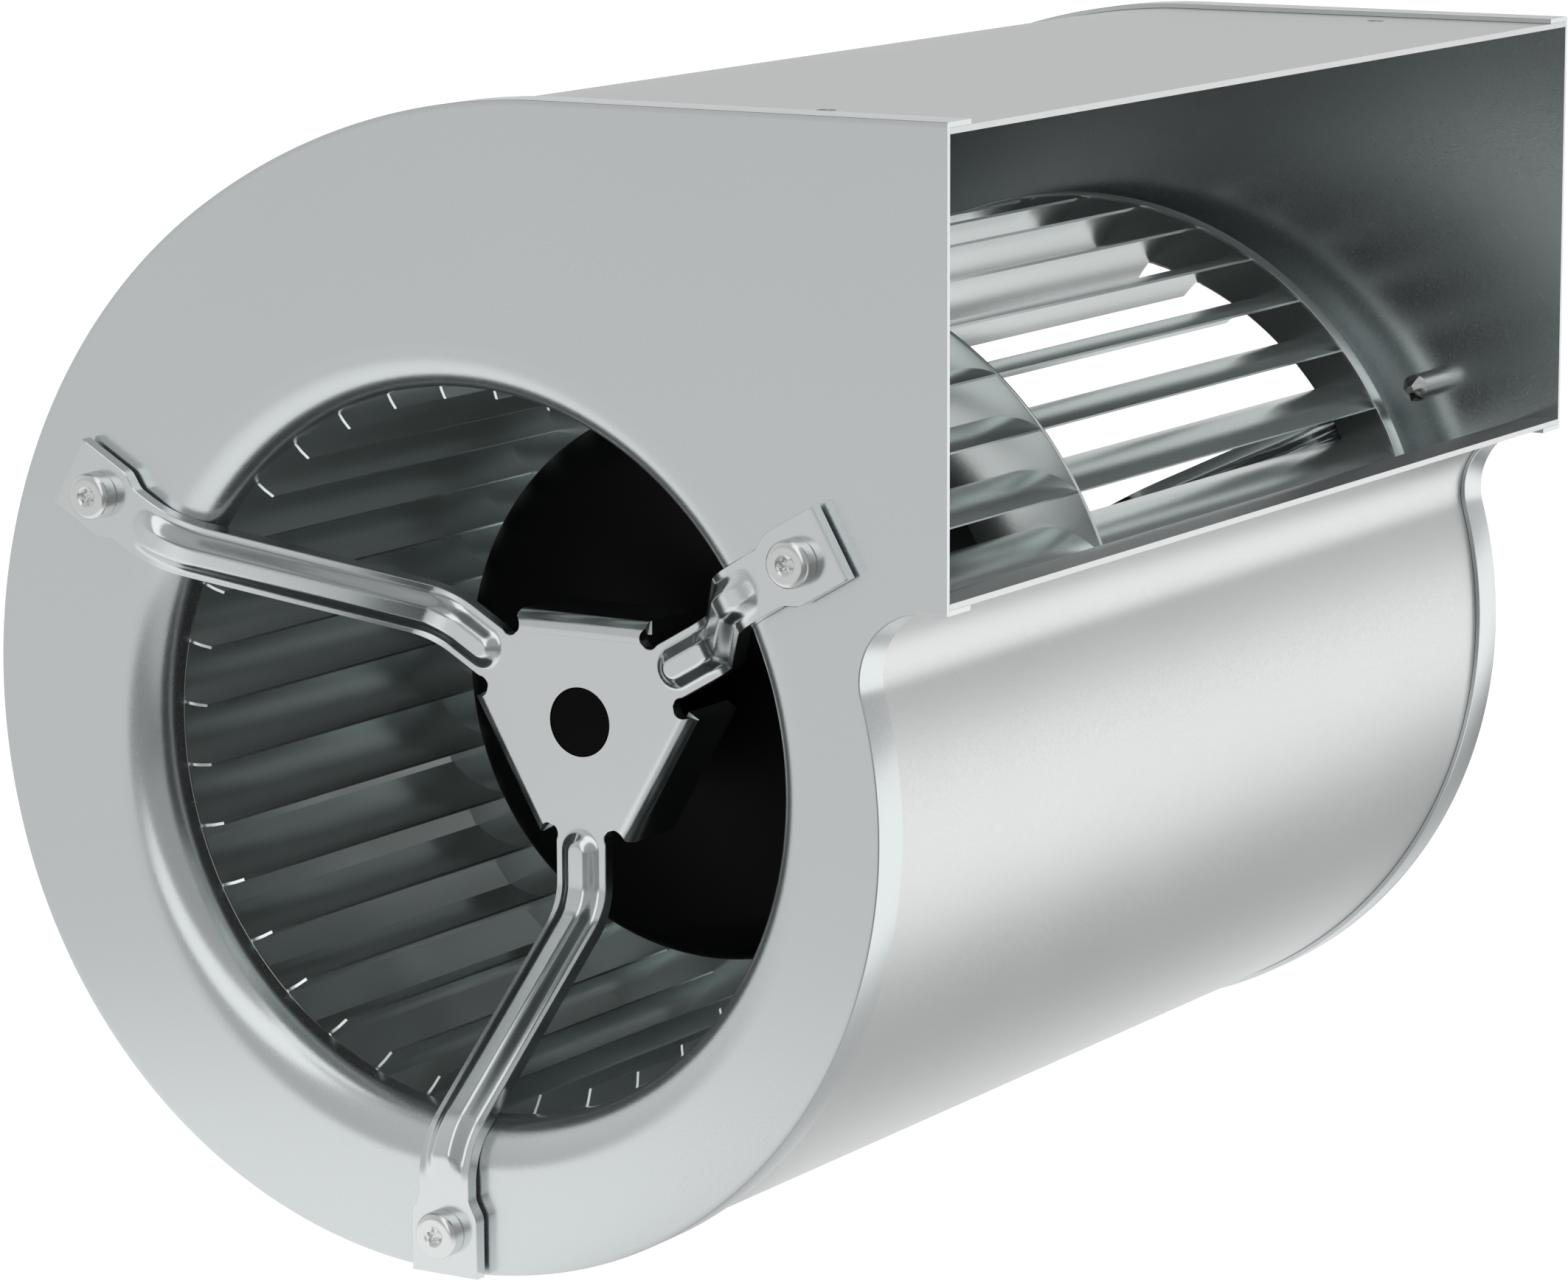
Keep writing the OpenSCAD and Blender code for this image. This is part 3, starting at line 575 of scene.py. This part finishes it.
head_rings = [star_ring(share, HEAD_H - sunk)
              for share, sunk in ((0, 1.3), (0.8, 1.1), (0.95, 0.9), (1, 0.3))]
head_rings += [round_ring(radius, HEAD_H - sunk)
               for radius, sunk in ((1.55, 0.22), (1.8, 0), (2.7, 0))]
rim_centre = np.array([HEAD_R - HEAD_ROUND, HEAD_H - HEAD_ROUND])
rim_rings = [round_ring(*(rim_centre + HEAD_ROUND * heading(turn)))
             for turn in np.linspace(90, 0, 7)]
shank_rings = [round_ring(HEAD_R, HEAD_FOOT), round_ring(HEAD_R - HEAD_FOOT, 0),
               round_ring(SHANK_R, 0)]
point_rings = [fluted_ring(share) for share in np.linspace(0, 1, 7)]
point_rings.append(round_ring(0, -SCREW_L))
screw_grid = np.stack(head_rings + rim_rings + shank_rings + point_rings)
screw = grid(screw_grid, False, True)
at_feet = [(a, [*(FOOT_SCREW_AT * heading(a)), FOOT_Z]) for a in ARM_ANGLES]
screw_parts = [shifted(swung(screw, a + HEAD_TURN), place) for a, place in at_feet]
both_sides("foot_screws_cut", screw_parts, "housing", "fasteners", "foot_screws", 40)
bore = SCREW_R + PLAY
washer_line = rounded([(bore, 0), (WASHER_R, 0), (WASHER_R, WASHER_T), (bore, WASHER_T)],
                      (0, 0.12, 0.12, 0), 3)
washer = turned(washer_line, 64, True)
washer_parts = [shifted(washer, [*(FOOT_SCREW_AT * heading(a)), SIDE_Z]) for a in ARM_ANGLES]
both_sides("foot_washers_stamped", washer_parts, "housing", "fasteners", "foot_washers")

# %% [markdown]
# ## Axle, sleeves and the black motor
# All of these are turned shapes, so each is one profile with its corners rounded. The can
# is drawn from sheet: a closed face, a generous shoulder, a straight wall and a flange.

# %% Axle and sleeves
CAN_R, CAN_T, CAN_FACE, SHOULDER, CAN_DEPTH, SLEEVE_R = 50.0, 1.6, 41.0, 8.0, 39, 8.3
DISC_Z, DISC_T, DISC_R, FLANGE_R = 15.3, 1.0, 72.8, 57.0
NEAR_BEARING, FAR_BEARING, BEARING_H = 31.35, 3.65, 8.0
axle_line = rounded([(0, HUB_Z), (AXLE_R, HUB_Z), (AXLE_R, -HUB_Z), (0, -HUB_Z)],
                    (0, 0.35, 0.35, 0), 4)
sleeve_in = AXLE_R + PLAY
make_piece("axle_turned", [turned(axle_line, 96)], "housing", "axle", ["motor_axle"])
for side, z1, z2 in (("near", NEAR_BEARING + BEARING_H, HUB_Z - BRACKET_T),
                     ("far", BRACKET_T - HUB_Z, FAR_BEARING)):
    sleeve = rounded([(sleeve_in, z1), (SLEEVE_R, z1), (SLEEVE_R, z2), (sleeve_in, z2)],
                     (0, 0.3, 0.3, 0), 4)
    make_piece(f"{side}_sleeve_turned", [turned(sleeve, 96, True)], "housing", "spacers",
               [f"{side}_spacer_sleeve"])

# %% Rotor can and end cover
can_in, can_under = CAN_R - CAN_T, DISC_Z - DISC_T - CAN_T
flange_top = can_under + CAN_T - SEAM
eye, seat_in, seat_out = AXLE_R + 3, 14.05, 16.35
can_line = rounded(
    [(eye, CAN_FACE), (CAN_R, CAN_FACE), (CAN_R, flange_top), (FLANGE_R, flange_top),
     (FLANGE_R, can_under), (can_in, can_under), (can_in, CAN_FACE - CAN_T),
     (seat_out, CAN_FACE - CAN_T), (seat_out, NEAR_BEARING), (seat_in, NEAR_BEARING),
     (seat_in, CAN_FACE - CAN_T), (eye, CAN_FACE - CAN_T)],
    (0.4, SHOULDER, 0, 0.3, 0.3, 0, SHOULDER - CAN_T, 0, 0.3, 0.3, 0, 0.4), 14)
make_piece("rotor_can_drawn", [turned(can_line, 192, True)], "rotor", "rotor_paint", ["rotor_can"])
cover_under, cover_end = can_under - CAN_T, CAN_FACE - CAN_DEPTH
cover_top = can_under - SEAM
wall_r = CAN_R - 6
cover_line = rounded(
    [(wall_r - CAN_T, cover_top), (FLANGE_R, cover_top), (FLANGE_R, cover_under),
     (wall_r, cover_under), (wall_r, cover_end), (eye, cover_end), (eye, cover_end + CAN_T),
     (seat_in, cover_end + CAN_T), (seat_in, FAR_BEARING + BEARING_H),
     (seat_out, FAR_BEARING + BEARING_H), (seat_out, cover_end + CAN_T),
     (wall_r - CAN_T, cover_end + CAN_T)],
    (0, 0.3, 0.3, 0, 3.0, 0.4, 0.4, 0, 0.3, 0.3, 0, 1.4), 8)
make_piece("rotor_end_cover_drawn", [turned(cover_line, 192, True)], "rotor", "rotor_paint",
           ["rotor_end_cover"])

# %% [markdown]
# ## Impeller
# Thirty-six curved blades run through slots of a middle disc, and a ring at each end ties
# their tips together. A blade is a small closed grid: a curved strip of sheet whose ends
# are cut back at a slant on the inner side, which shows at the inlet as bright corners.

# %% Blades, disc and end rings
BLADE_R1, BLADE_R2, BLADE_N, BLADE_T = 59.0, 72.6, 36, 0.5
BLADE_LEAN, CURVE_R, BLADE_FIRST = 8.6, 14.4, 8.5
CORNER, CORNER_W, CORNER_FROM = 2.0, 3.08, 0.28
RING_R, RING_T, RING_LIP, NOZZLE_GAP = 73.5, 0.5, 4.3, 0.8
drum_z, ring_in, disc_in = NOZZLE_Z - NOZZLE_GAP, THROAT_R + 0.6, CAN_R + PLAY
blade_z = drum_z - RING_T
foot_point, tip_point = np.array([BLADE_R1, 0]), BLADE_R2 * heading(-BLADE_LEAN)
chord = tip_point - foot_point
length = np.linalg.norm(chord)
chord_angle = np.degrees(np.arctan2(chord[1], chord[0]))
sag = np.sqrt(CURVE_R ** 2 - length ** 2 / 4)
blade_c = foot_point + chord / 2 + sag * heading(chord_angle - 90)
a1, a2 = (np.degrees(np.arctan2(*(p - blade_c)[::-1])) for p in (foot_point, tip_point))
turn = np.linspace(a1, a2, 13)
outside = blade_c + (CURVE_R + BLADE_T / 2) * heading(turn)
inside = blade_c + (CURVE_R - BLADE_T / 2) * heading(turn)


def blade_end(points):
    """Half-length of the blade at a point: cut back at a slant near the inner edge."""
    slant = (np.linalg.norm(points, axis=-1) - BLADE_R1 + CORNER_FROM) / CORNER_W
    return blade_z - CORNER * (1 - np.clip(slant, 0, 1))


def blade_face(points):
    """One face of the blade as a grid: along the shaft, and across the curve."""
    share = np.array([-1, -0.5, 0, 0.5, 1])[:, None]
    height = share * blade_end(points)[None]
    flat = np.broadcast_to(points[None], height.shape + (2,))
    return np.concatenate([flat, height[..., None]], -1)


blade = slab(blade_face(outside), blade_face(inside), open_start=False)
blades = [swung(part, BLADE_FIRST + k * 360 / BLADE_N) for k in range(BLADE_N) for part in blade]
make_piece("impeller_blades_curved", blades, "rotor", "impeller", ["impeller_blades"])
disc_line = rounded([(disc_in, DISC_Z), (DISC_R, DISC_Z), (DISC_R, DISC_Z - DISC_T),
                     (disc_in, DISC_Z - DISC_T)], (0, 0.2, 0.2, 0), 3)
make_piece("middle_disc_cut", [turned(disc_line, 240, True)], "rotor", "impeller", ["middle_disc"])
ring_low = drum_z - RING_LIP
ring_line = rounded([(ring_in, drum_z), (RING_R, drum_z), (RING_R, ring_low),
                     (RING_R - RING_T, ring_low), (RING_R - RING_T, blade_z),
                     (ring_in, blade_z)], (0.1, 0.9, 0.1, 0.1, 0.4, 0.1), 6)
both_sides("end_ring_rolled", [turned(ring_line, 240, True)], "rotor", "impeller", "end_ring")

# %% Rivets
RIVET_AT, RIVET_HEAD, RIVET_RISE, RIVET_R = 53.7, 2.8, 0.9, 1.5
dome = heading(np.linspace(90, 0, 8)) * [RIVET_HEAD, RIVET_RISE]
cap = [0, DISC_Z] + dome
tail = [0, cover_under] + dome * [1, -1]
rivet_line = np.concatenate([cap, [[RIVET_R, DISC_Z], [RIVET_R, cover_under]], tail[::-1]])
rivet = turned(rivet_line, 32)
rivets = [shifted(rivet, [*(RIVET_AT * heading(60 * k)), 0]) for k in range(6)]
make_piece("disc_rivets_domed", rivets, "rotor", "fasteners", ["disc_rivets"])

# %% [markdown]
# ## Writing finishes as sums
# A shader's maths is easier to read as a sum than as a tangle of nodes. The class below
# wraps one socket. Adding or multiplying two of them makes the Math node, and every other
# node comes from one method that takes its type, its settings and its inputs.


# %% Sockets with operators
class Wire:
    """One output socket of a node tree, with + - * written as in Python."""

    def __init__(self, paint, socket):
        self.paint, self.socket = paint, socket

    def math(self, kind, other, swap=False):
        pair = (other, self) if swap else (self, other)
        return self.paint.node("ShaderNodeMath", {"operation": kind},
                               **{"0": pair[0], "1": pair[1]})

    def __add__(self, other):
        return self.math("ADD", other)

    def __sub__(self, other):
        return self.math("SUBTRACT", other)

    def __rsub__(self, other):
        return self.math("SUBTRACT", other, True)

    def __mul__(self, other):
        return self.math("MULTIPLY", other)


class Nodes:
    """A node tree under construction; node() adds any node to it."""

    def __init__(self, tree):
        self.tree = tree

    def node(self, kind, settings=None, output=0, **inputs):
        """Adds a node: settings first, then values or links."""
        made = self.tree.nodes.new(kind)
        for key, value in (settings or {}).items():
            setattr(made, key, value)
        self.join(made, inputs)
        return Wire(self, made.outputs[output])

    def join(self, made, inputs):
        """Sets or links the sockets of a node; a number as name counts the sockets."""
        for key, value in inputs.items():
            socket = made.inputs[int(key)] if key.isdigit() else made.inputs[key.replace("_", " ")]
            if isinstance(value, Wire):
                self.tree.links.new(value.socket, socket)
            else:
                socket.default_value = value

    def fade(self, value, start, end):
        """A smooth step from 0 at start to 1 at end."""
        return self.node("ShaderNodeMapRange", {"interpolation_type": "SMOOTHSTEP"}, Value=value,
                         From_Min=start, From_Max=end)

    def mix(self, share, a, b):
        """A colour between a and b."""
        return self.node("ShaderNodeMix", {"data_type": "RGBA"}, 2,
                         **{"0": share, "6": (*a, 1), "7": (*b, 1)})


class Paint(Nodes):
    """A material under construction; coat() ends it."""

    def __init__(self, name):
        self.material = bpy.data.materials.new(name)
        self.material.use_nodes = True
        super().__init__(self.material.node_tree)
        self.shader = self.tree.nodes["Principled BSDF"]
        self.place = self.node("ShaderNodeTexCoord", None, "Object")

    def noise(self, scale, detail=3.0):
        """Soft noise around one half, at a scale per metre."""
        return self.node("ShaderNodeTexNoise", None, "Fac", Vector=self.place, Scale=scale,
                         Detail=detail)

    def coat(self, bump=None, strength=0.1, depth=0.0002, **inputs):
        """Feeds the shader; a bump height goes through one Bump node."""
        if bump is not None:
            inputs["Normal"] = self.node("ShaderNodeBump", None, Height=bump, Strength=strength,
                                         Distance=depth)
        self.join(self.shader, inputs)
        return self.material


# %% [markdown]
# ## Galvanised sheet
# Zinc-dipped steel is a satin mirror. What sets it apart from polished steel is a fine
# grain that breaks the reflection into a faint sparkle, and slow changes of tone over the
# sheet. Metallic stays at one or just below it, which lets a little light scatter; noise
# moves the colour a little and the roughness more.


# %% Zinc finishes
def zinc(name, light, dark, gloss, grain, scale=2600.0, bump=0.12, metal=1.0):
    """Galvanised sheet between two tones, with a fine grain in roughness and height."""
    paint = Paint(name)
    fine = paint.noise(scale, 2.0)
    slow = paint.noise(22.0, 3.0)
    tone = paint.mix(slow * 0.55 + fine * 0.45, dark, light)
    rough = (fine - 0.5) * grain + (slow - 0.5) * 0.05 + gloss
    return paint.coat(fine, bump, 0.00005, Base_Color=tone, Roughness=rough, Metallic=metal)


plate_zinc = zinc("side_plate_zinc", (0.73, 0.765, 0.775), (0.68, 0.715, 0.725), 0.24, 0.16,
                  metal=0.94)
wrap_zinc = zinc("wrap_zinc", (0.79, 0.80, 0.80), (0.65, 0.665, 0.665), 0.36, 0.25, 1800.0, 0.2)
bracket_zinc = zinc("bracket_zinc", (0.76, 0.79, 0.795), (0.71, 0.74, 0.745), 0.18, 0.06)
# The blades' zinc is lighter and greener than the plates': painted light for the dim inside of the
# drum, and a painted green tint of its shade.
blade_zinc_and_painted_light = zinc("impeller_zinc_and_painted_light", (0.93, 0.99, 0.98), (0.86, 0.92, 0.91), 0.23, 0.12,
                  metal=0.88)
screw_zinc = zinc("fastener_zinc", (0.82, 0.84, 0.835), (0.74, 0.765, 0.76), 0.24, 0.06)
bearing_steel = zinc("bearing_ground", (0.78, 0.79, 0.80), (0.70, 0.71, 0.72), 0.14, 0.04)
cage_brass = zinc("cage_brass", (0.78, 0.62, 0.30), (0.66, 0.50, 0.22), 0.3, 0.08)
copper = zinc("winding_copper", (0.72, 0.36, 0.17), (0.50, 0.23, 0.10), 0.34, 0.2, 900.0, 0.5)


# %% Black finishes and laminations
def black(name, tone, gloss, shine):
    """Black paint with a faint orange-peel surface and a slow change of sheen."""
    paint = Paint(name)
    peel, slow = paint.noise(700.0, 2.0), paint.noise(30.0, 2.0)
    colour = paint.mix(slow, tone, tuple(1.6 * c for c in tone))
    return paint.coat(peel, 0.05, 0.00005, Base_Color=colour, Specular_IOR_Level=shine,
                      Roughness=(slow - 0.5) * 0.1 + gloss)


def laminated(name):
    """Thin sheets stacked along the shaft: a fine line between neighbours."""
    paint = Paint(name)
    bands = paint.node("ShaderNodeTexWave", {"bands_direction": "Y"}, "Fac", Vector=paint.place,
                       Scale=320.0, Distortion=0.0)
    tone = paint.mix(bands, (0.22, 0.23, 0.24), (0.42, 0.43, 0.44))
    return paint.coat(bands, 0.4, 0.0001, Base_Color=tone, Roughness=paint.noise(500.0) * 0.2 + 0.3,
                      Metallic=1.0)


rotor_black = black("rotor_black", (0.004, 0.004, 0.0045), 0.36, 0.12)
axle_black = black("axle_matte_black", (0.003, 0.003, 0.003), 0.5, 0.06)
core_steel = laminated("core_laminations")

# %% Giving every piece its finish
FINISH = {
    "side_plates": plate_zinc, "wrap": wrap_zinc, "brackets": bracket_zinc,
    "fasteners": screw_zinc, "axle": axle_black, "spacers": axle_black,
    "bearing_steel": bearing_steel, "bearing_cage": cage_brass, "core_steel": core_steel,
    "windings": copper, "rotor_paint": rotor_black, "impeller": blade_zinc_and_painted_light,
}
slot_of = {row["node"]: row["material_slot"] for row in frame["record"]["subparts"]}
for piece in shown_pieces():
    own = piece.get("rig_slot") or slot_of[piece["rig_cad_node"]]
    piece.data.materials.clear()
    piece.data.materials.append(FINISH[own])

# %% [markdown]
# ## Studio: floor, light and camera
# The photograph is a product picture on white. A pale floor runs far out, and the world
# is a soft tent of light: it shows white behind the object, and gives metal its bands.
# What metal mirrors of the floor is set apart from what the camera sees of it: for glossy
# rays the floor is darker and glows in soft zones by position, which are painted reflections.
# These are a painted bright card behind the fan at its right with a painted darker gap in
# front of it, a painted bright patch under the fan over the floor's own shade, and a painted
# dark strip at the right front. The zones stand in for the cards of the real studio, and were
# found from the bands on the wrap and the arms.

# %% Floor
def spread(nodes, place):
    """The three parts of a position or direction."""
    return [nodes.node("ShaderNodeSeparateXYZ", None, k, Vector=place) for k in range(3)]


FLOOR_HALF, SHAFT_X = 6.0, -0.06
corners = [(x * FLOOR_HALF, y * FLOOR_HALF, cad_box[0].z)
           for x, y in ((-1, -1), (1, -1), (1, 1), (-1, 1))]
floor_mesh = bpy.data.meshes.new("floor")
floor_mesh.from_pydata(corners, [], [(0, 1, 2, 3)])
floor = bpy.data.objects.new("floor", floor_mesh)
scene.collection.objects.link(floor)
floor_paint = Paint("floor_white")
across, away = spread(floor_paint, floor_paint.place)[:2]
across = across - SHAFT_X
seen = floor_paint.node("ShaderNodeLightPath", None, "Is Camera Ray")
mirrored = floor_paint.node("ShaderNodeLightPath", None, "Is Glossy Ray")
# Painted reflections for glossy rays only: near is a painted bright patch under the fan, over the
# floor's own shade.
near = 1 - floor_paint.fade(across * across + away * away, 0.02, 0.12)
beside = floor_paint.fade(away, -0.1, -0.06)
# A painted dark strip at the right front, a painted bright card behind the fan, and a painted
# darker gap in front of the card.
painted_dark_strip = floor_paint.fade(across, 0.0, 0.05) * (1 - beside)
painted_card_glow = floor_paint.fade(across, 0.11, 0.24) * beside
gap_end = floor_paint.fade(across, 0.09, 0.16)
gap = floor_paint.fade(across, 0.03, 0.08) * (1 - gap_end) * beside
# The painted reflections summed over an even glow; glossy rays also see the floor painted darker.
painted_reflection_glow = painted_card_glow * 1.15 + near * 0.3 - painted_dark_strip * 0.45 - gap * 0.45 + 0.5
floor_tone = floor_paint.mix(mirrored, (0.88, 0.88, 0.88), (0.3, 0.3, 0.3))
floor_shine = floor_paint.mix(mirrored * painted_reflection_glow + seen * 0.68, (0, 0, 0), (1, 1, 1))
floor_mesh.materials.append(floor_paint.coat(Base_Color=floor_tone, Roughness=0.9,
                                             Emission_Color=floor_shine, Emission_Strength=1.0))

# %% World
scene.view_settings.view_transform = "Standard"
world = scene.world or bpy.data.worlds.new("studio")
scene.world = world
world.use_nodes = True
sky = Nodes(world.node_tree)
toward = sky.node("ShaderNodeTexCoord", None, "Generated")
to_right, to_back, to_top = spread(sky, toward)
tent = to_right * -0.15 + to_back * 0.1 + 0.55
high_left = sky.fade(to_top * 0.85 + to_back * 0.3 - to_right * 0.45, 0.82, 0.97)
tent = tent * (1 - high_left * 0.65)
white_sky = sky.node("ShaderNodeLightPath", None, "Is Camera Ray")
sky_tone = sky.mix(white_sky + (1 - white_sky) * tent, (0, 0, 0), (1, 1, 1))
sky.join(sky.tree.nodes["Background"], {"Color": sky_tone})


# %% Lamps
def soft_lamp(name, azimuth, elevation, distance, width, height, power):
    """A soft box seen from the object at an azimuth (0 is in front) and an elevation."""
    a, e = np.radians([azimuth, elevation])
    toward = Vector((np.sin(a) * np.cos(e), -np.cos(a) * np.cos(e), np.sin(e)))
    lamp = bpy.data.lights.new(name, "AREA")
    lamp.shape, lamp.size, lamp.size_y, lamp.energy = "RECTANGLE", width, height, power
    holder = bpy.data.objects.new(name, lamp)
    holder.location = Vector((SHAFT_X, 0.0, -0.1)) + toward * distance
    holder.rotation_euler = toward.to_track_quat("Z", "Y").to_euler()
    scene.collection.objects.link(holder)
    return holder


soft_lamp("tall_soft_box", 15, 33, 1.3, 0.68, 1.55, 2.2)
soft_lamp("overhead", 60, 80, 1.4, 0.8, 0.8, 1.2)

# %% [markdown]
# ## Camera
# The camera was found by fitting the housing's edges, inlet circles and screws to the
# photograph. It looks from the near inlet side with the outlet to the right, from far away
# with a long lens, about a metre from a fan a quarter of a metre wide.

# %% Camera
AZIMUTH, ELEVATION, ROLL = np.radians([31.182, 10.364, -0.211])
TX, TY, DISTANCE, FOCAL, SENSOR, FRAME_W = 4.846, -2.065, 1110.04, 8315.4, 36.0, 2126
back = np.array([np.sin(AZIMUTH) * np.cos(ELEVATION), -np.cos(AZIMUTH) * np.cos(ELEVATION),
                 np.sin(ELEVATION)])
right = np.array([np.cos(AZIMUTH), np.sin(AZIMUTH), 0])
up = np.cross(back, right)
tilt = np.array([[np.cos(ROLL), np.sin(ROLL), 0], [-np.sin(ROLL), np.cos(ROLL), 0], [0, 0, 1]])
look = tilt @ np.stack([right, up, back])
shaft = np.array([-TOP_HOLE_X, 0, -WRAP_TOP])
stand = (look.T @ np.array([-TX, -TY, DISTANCE]) + shaft) * MM
view = bpy.data.cameras.new("photo_view")
view.sensor_width, view.lens = SENSOR, FOCAL * SENSOR / FRAME_W
view.clip_start, view.clip_end = 0.05, 50
camera = bpy.data.objects.new("photo_view", view)
camera.matrix_world = Matrix([[*look[:, k], stand[k]] for k in range(3)] + [[0, 0, 0, 1]])
scene.collection.objects.link(camera)
scene.camera = camera
print("camera at", np.round(stand, 3), "lens", round(view.lens, 2))

# %% Size of the CAD box
print("CAD box", [tuple(round(c, 4) for c in p) for p in cad_box])
